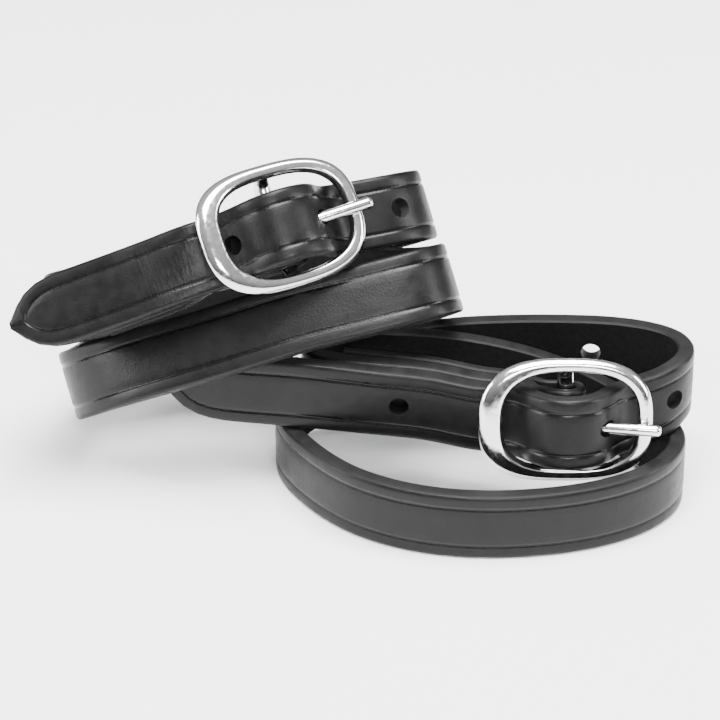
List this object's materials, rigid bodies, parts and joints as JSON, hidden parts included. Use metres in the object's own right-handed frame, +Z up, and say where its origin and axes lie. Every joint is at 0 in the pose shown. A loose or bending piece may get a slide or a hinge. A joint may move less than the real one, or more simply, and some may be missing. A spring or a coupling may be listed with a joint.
{
  "type": "pair of spur straps",
  "caption": "Pair of black leather spur straps with metal buckles, each coiled and buckled up, one leaning on the other.",
  "frame": {"origin": "middle of the pair's outline, on the surface that it lies on", "axes": "+X to the right along the lower coil, +Y away from the buckles' faces, +Z up"},
  "size_m": [0.1228, 0.0634, 0.0584],
  "materials": {
    "strap_leather": "smooth black bridle leather, semi-gloss",
    "thread": "waxed black thread",
    "buckle_metal": "polished nickel plate"
  },
  "bodies": {
    "lower_coil": {"lower_strap": "strap_leather", "lower_stitching": "thread"},
    "lower_frame": {"lower_buckle_frame": "buckle_metal"},
    "lower_tongue": {"lower_buckle_tongue": "buckle_metal"},
    "upper_coil": {"upper_strap": "strap_leather", "upper_stitching": "thread"},
    "upper_frame": {"upper_buckle_frame": "buckle_metal"},
    "upper_tongue": {"upper_buckle_tongue": "buckle_metal"}
  },
  "joints": [
    {"name": "lower_frame_rock", "type": "hinge", "parent": "lower_coil", "child": "lower_frame", "pos_m": [0.03769, -0.01427, 0.01827], "axis": [0, 0.2334, 0.9724], "range_deg": [-2, 2]},
    {"name": "lower_tongue_pivot", "type": "hinge", "parent": "lower_frame", "child": "lower_tongue", "pos_m": [0.03769, -0.01427, 0.01827], "axis": [0, -0.2334, -0.9724], "range_deg": [0, 6]},
    {"name": "upper_lift", "type": "slide", "parent": "lower_coil", "child": "upper_coil", "axis": [0, 0, 1], "range_m": [0, 0.12]},
    {"name": "upper_frame_rock", "type": "hinge", "parent": "upper_coil", "child": "upper_frame", "pos_m": [-0.01345, 0.00187, 0.04706], "axis": [-0.3253, 0.5927, 0.7368], "range_deg": [-2, 2]},
    {"name": "upper_tongue_pivot", "type": "hinge", "parent": "upper_frame", "child": "upper_tongue", "pos_m": [-0.01345, 0.00187, 0.04706], "axis": [0.3253, -0.5927, -0.7368], "range_deg": [0, 6]}
  ]
}
